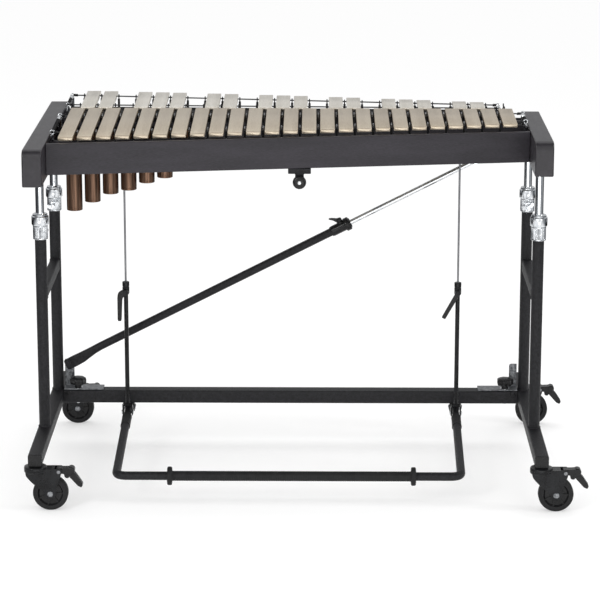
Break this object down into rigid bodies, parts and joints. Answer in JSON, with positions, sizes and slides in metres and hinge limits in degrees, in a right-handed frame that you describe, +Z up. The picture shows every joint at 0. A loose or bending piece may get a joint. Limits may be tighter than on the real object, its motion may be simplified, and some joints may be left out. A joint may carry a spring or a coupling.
{
  "type": "orchestral glockenspiel on damper stand",
  "caption": "Concert glockenspiel: two rows of tuned metal bars on a tapered bed, with resonators, pedal damper, diagonal brace and a height-adjustable stand on braked casters.",
  "frame": {"origin": "middle of the overall footprint, on the floor under the wheels", "axes": "+X along the keyboard towards the short high bars, +Y from the player towards the back, +Z up"},
  "size_m": [1.2186, 0.7118, 0.8034],
  "materials": {
    "black textured steel": "textured satin",
    "chrome": "mirror bright",
    "black plastic": "satin",
    "rubber": "matte",
    "charcoal wood": "charcoal satin lacquer",
    "bar metal": "satin champagne plating",
    "brown aluminium": "brown anodised, lengthwise brushed",
    "felt": "felt"
  },
  "bodies": {
    "base": {"left_leg_frame": "black textured steel", "pedal_hinge_left": "black textured steel", "right_leg_frame": "black textured steel", "pedal_hinge_right": "black textured steel", "crossbar": "black textured steel", "crossbar_bracket_left": "black textured steel", "crossbar_bracket_right": "black textured steel", "leg_collar_front_left": "chrome", "leg_collar_front_right": "chrome", "leg_collar_rear_left": "chrome", "leg_collar_rear_right": "chrome"},
    "bed": {"left_end_block": "charcoal wood", "right_end_block": "charcoal wood", "front_rail": "charcoal wood", "rear_rail": "charcoal wood", "naturals_front_support": "charcoal wood", "naturals_rear_support": "charcoal wood", "accidentals_front_support": "charcoal wood", "accidentals_rear_support": "charcoal wood", "natural_bars": "bar metal", "accidental_bars": "bar metal", "resonator_bank": "brown aluminium", "front_knob_bracket": "black plastic", "brace_hanger": "black textured steel", "leg_tube_front_left": "chrome", "leg_tube_front_right": "chrome", "leg_tube_rear_left": "chrome", "leg_tube_rear_right": "chrome"},
    "damper": {"damper_rail": "charcoal wood", "damper_felt": "felt", "pull_rod_left": "chrome", "pull_rod_right": "chrome"},
    "pedal": {"pedal_frame": "black textured steel", "pedal_sleeve": "rubber"},
    "pull_tube_left": {"pull_tube_left": "black textured steel"},
    "pull_rod_lever_left": {"pull_rod_lever_left": "black plastic"},
    "pull_tube_right": {"pull_tube_right": "black textured steel"},
    "pull_rod_lever_right": {"pull_rod_lever_right": "black plastic"},
    "brace_outer": {"brace_outer_tube": "black textured steel"},
    "brace_inner": {"brace_inner_tube": "chrome"},
    "brace_lever": {"brace_clamp_lever": "black plastic"},
    "crossbar_knob_left": {"crossbar_knob_left": "black plastic"},
    "crossbar_knob_right": {"crossbar_knob_right": "black plastic"},
    "front_knob": {"front_knob": "black plastic"},
    "collar_screw_front_left": {"collar_screw_front_left": "chrome"},
    "caster_front_left": {"caster_fork_front_left": "black textured steel"},
    "wheel_front_left": {"caster_wheel_front_left": "rubber"},
    "brake_front_left": {"caster_brake_front_left": "black plastic"},
    "collar_screw_front_right": {"collar_screw_front_right": "chrome"},
    "caster_front_right": {"caster_fork_front_right": "black textured steel"},
    "wheel_front_right": {"caster_wheel_front_right": "rubber"},
    "brake_front_right": {"caster_brake_front_right": "black plastic"},
    "collar_screw_rear_left": {"collar_screw_rear_left": "chrome"},
    "caster_rear_left": {"caster_fork_rear_left": "black textured steel"},
    "wheel_rear_left": {"caster_wheel_rear_left": "rubber"},
    "brake_rear_left": {"caster_brake_rear_left": "black plastic"},
    "collar_screw_rear_right": {"collar_screw_rear_right": "chrome"},
    "caster_rear_right": {"caster_fork_rear_right": "black textured steel"},
    "wheel_rear_right": {"caster_wheel_rear_right": "rubber"},
    "brake_rear_right": {"caster_brake_rear_right": "black plastic"}
  },
  "joints": [
    {"name": "height_adjust", "type": "slide", "parent": "base", "child": "bed", "axis": [0, 0, 1], "range_m": [-0.04, 0.12]},
    {"name": "pedal_press", "type": "hinge", "parent": "base", "child": "pedal", "pos_m": [-0.03915, 0.17185, 0.084], "axis": [1, 0, 0], "range_deg": [0, 4.5], "stiffness_Nm_per_rad": 40, "springref_deg": -20.05},
    {"name": "damper_drop", "type": "slide", "parent": "bed", "child": "damper", "axis": [0, 0, -1], "range_m": [0, 0.004]},
    {"name": "pull_tube_drop_left", "type": "slide", "parent": "base", "child": "pull_tube_left", "axis": [0, 0, -1], "range_m": [0, 0.004]},
    {"name": "pull_rod_clamp_left", "type": "hinge", "parent": "pull_tube_left", "child": "pull_rod_lever_left", "pos_m": [-0.41815, 0.12385, 0.374], "axis": [0, 1, 0], "range_deg": [-60, 60]},
    {"name": "pull_tube_drop_right", "type": "slide", "parent": "base", "child": "pull_tube_right", "axis": [0, 0, -1], "range_m": [0, 0.004]},
    {"name": "pull_rod_clamp_right", "type": "hinge", "parent": "pull_tube_right", "child": "pull_rod_lever_right", "pos_m": [0.34585, 0.12385, 0.374], "axis": [0, 1, 0], "range_deg": [-60, 60]},
    {"name": "brace_swing", "type": "hinge", "parent": "base", "child": "brace_outer", "pos_m": [-0.55915, 0.18135, 0.189], "axis": [0, -1, 0], "range_deg": [-2, 5.6]},
    {"name": "brace_extend", "type": "slide", "parent": "brace_outer", "child": "brace_inner", "axis": [0.8908, 0, 0.4543], "range_m": [-0.0205, 0.0595]},
    {"name": "brace_clamp", "type": "hinge", "parent": "brace_outer", "child": "brace_lever", "pos_m": [0.07963, 0.18135, 0.51478], "axis": [-0.4543, 0, 0.8908], "range_deg": [-60, 60]},
    {"name": "crossbar_knob_turn_left", "type": "hinge", "parent": "base", "child": "crossbar_knob_left", "pos_m": [-0.53715, 0.16835, 0.145], "axis": [0, 0, 1], "range_deg": [0, 360]},
    {"name": "crossbar_knob_turn_right", "type": "hinge", "parent": "base", "child": "crossbar_knob_right", "pos_m": [0.46235, 0.16835, 0.145], "axis": [0, 0, 1], "range_deg": [0, 360]},
    {"name": "front_knob_turn", "type": "hinge", "parent": "bed", "child": "front_knob", "pos_m": [-0.01715, -0.11227, 0.679], "axis": [0, -1, 0], "range_deg": [0, 360]},
    {"name": "collar_screw_turn_front_left", "type": "hinge", "parent": "base", "child": "collar_screw_front_left", "pos_m": [-0.58455, -0.12335, 0.566], "axis": [0, 1, 0], "range_deg": [0, 360]},
    {"name": "caster_swivel_front_left", "type": "hinge", "parent": "base", "child": "caster_front_left", "pos_m": [-0.58455, -0.33115, 0.09], "axis": [0, 0, 1], "continuous": true},
    {"name": "wheel_roll_front_left", "type": "hinge", "parent": "caster_front_left", "child": "wheel_front_left", "pos_m": [-0.55255, -0.33115, 0.0381], "axis": [0, 1, 0], "continuous": true},
    {"name": "brake_press_front_left", "type": "hinge", "parent": "caster_front_left", "child": "brake_front_left", "pos_m": [-0.53355, -0.33115, 0.088], "axis": [0, 1, 0], "range_deg": [0, 18]},
    {"name": "collar_screw_turn_front_right", "type": "hinge", "parent": "base", "child": "collar_screw_front_right", "pos_m": [0.50625, -0.12335, 0.566], "axis": [0, 1, 0], "range_deg": [0, 360]},
    {"name": "caster_swivel_front_right", "type": "hinge", "parent": "base", "child": "caster_front_right", "pos_m": [0.50625, -0.33115, 0.09], "axis": [0, 0, 1], "continuous": true},
    {"name": "wheel_roll_front_right", "type": "hinge", "parent": "caster_front_right", "child": "wheel_front_right", "pos_m": [0.53825, -0.33115, 0.0381], "axis": [0, 1, 0], "continuous": true},
    {"name": "brake_press_front_right", "type": "hinge", "parent": "caster_front_right", "child": "brake_front_right", "pos_m": [0.55725, -0.33115, 0.088], "axis": [0, 1, 0], "range_deg": [0, 18]},
    {"name": "collar_screw_turn_rear_left", "type": "hinge", "parent": "base", "child": "collar_screw_rear_left", "pos_m": [-0.58455, 0.18085, 0.566], "axis": [0, -1, 0], "range_deg": [0, 360]},
    {"name": "caster_swivel_rear_left", "type": "hinge", "parent": "base", "child": "caster_rear_left", "pos_m": [-0.58455, 0.31985, 0.09], "axis": [0, 0, 1], "continuous": true},
    {"name": "wheel_roll_rear_left", "type": "hinge", "parent": "caster_rear_left", "child": "wheel_rear_left", "pos_m": [-0.55255, 0.31985, 0.0381], "axis": [0, 1, 0], "continuous": true},
    {"name": "brake_press_rear_left", "type": "hinge", "parent": "caster_rear_left", "child": "brake_rear_left", "pos_m": [-0.53355, 0.31985, 0.088], "axis": [0, 1, 0], "range_deg": [0, 18]},
    {"name": "collar_screw_turn_rear_right", "type": "hinge", "parent": "base", "child": "collar_screw_rear_right", "pos_m": [0.50625, 0.18085, 0.566], "axis": [0, -1, 0], "range_deg": [0, 360]},
    {"name": "caster_swivel_rear_right", "type": "hinge", "parent": "base", "child": "caster_rear_right", "pos_m": [0.50625, 0.31985, 0.09], "axis": [0, 0, 1], "continuous": true},
    {"name": "wheel_roll_rear_right", "type": "hinge", "parent": "caster_rear_right", "child": "wheel_rear_right", "pos_m": [0.53825, 0.31985, 0.0381], "axis": [0, 1, 0], "continuous": true},
    {"name": "brake_press_rear_right", "type": "hinge", "parent": "caster_rear_right", "child": "brake_rear_right", "pos_m": [0.55725, 0.31985, 0.088], "axis": [0, 1, 0], "range_deg": [0, 18]}
  ],
  "couplings": [
    {"joint": "damper_drop", "follows": "pedal_press", "m_per_rad": 0.048},
    {"joint": "pull_tube_drop_left", "follows": "pedal_press", "m_per_rad": 0.048},
    {"joint": "pull_tube_drop_right", "follows": "pedal_press", "m_per_rad": 0.048},
    {"joint": "brace_swing", "follows": "height_adjust", "rad_per_m": 0.79},
    {"joint": "brace_extend", "follows": "height_adjust", "ratio": 0.485}
  ]
}
